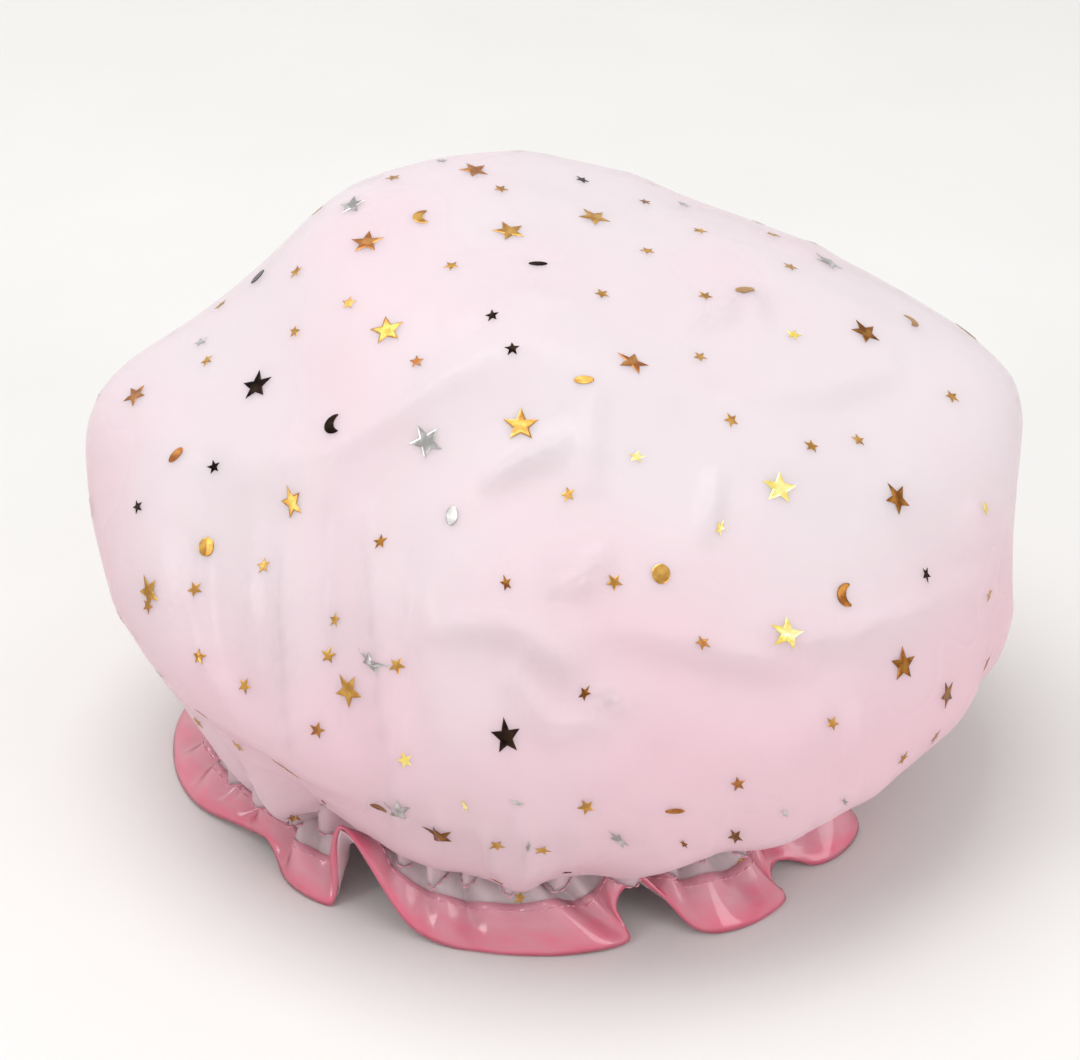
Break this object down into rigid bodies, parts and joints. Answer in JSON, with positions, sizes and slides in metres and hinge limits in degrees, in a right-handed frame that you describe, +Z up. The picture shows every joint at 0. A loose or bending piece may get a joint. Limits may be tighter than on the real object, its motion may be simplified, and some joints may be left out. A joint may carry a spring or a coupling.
{
  "type": "shower cap",
  "caption": "Puffed, translucent bouffant shower cap with a gathered elastic neck, a ruffled hem in a folded binding, and foil stars, moons and dots.",
  "frame": {"origin": "middle of the cap's outline seen from above, on the surface that its hem stands on", "axes": "+Z up through the crown, X across the cap's width, -Y towards the side that the picture shows from the front"},
  "size_m": [0.2638, 0.2406, 0.1673],
  "materials": {
    "outer_film": "satin",
    "lining_film": "satin",
    "edge_binding": "gloss",
    "elastic": "matte",
    "casing_tape": "matte",
    "thread": "matte",
    "foil": "polished"
  },
  "bodies": {
    "root": {"outer_film_crown": "outer_film", "outer_film_wall": "outer_film", "outer_film_ruffle": "outer_film", "lining_film": "lining_film", "edge_binding": "edge_binding", "elastic_band": "elastic", "elastic_end_tack": "thread", "elastic_casing": "casing_tape", "casing_stitches_upper": "thread", "casing_stitches_lower": "thread", "binding_stitches": "thread", "foil_star_01": "foil", "foil_star_02": "foil", "foil_star_03": "foil", "foil_star_04": "foil", "foil_star_05": "foil", "foil_star_06": "foil", "foil_star_07": "foil", "foil_star_08": "foil", "foil_star_09": "foil", "foil_star_10": "foil", "foil_star_11": "foil", "foil_star_12": "foil", "foil_star_13": "foil", "foil_star_14": "foil", "foil_star_15": "foil", "foil_star_16": "foil", "foil_star_17": "foil", "foil_star_18": "foil", "foil_star_19": "foil", "foil_star_20": "foil", "foil_star_21": "foil", "foil_star_22": "foil", "foil_star_23": "foil", "foil_star_24": "foil", "foil_moon_01": "foil", "foil_moon_02": "foil", "foil_moon_03": "foil", "foil_moon_04": "foil", "foil_dot_01": "foil", "foil_dot_02": "foil", "foil_dot_03": "foil", "foil_dot_04": "foil", "foil_dot_05": "foil"}
  },
  "joints": []
}
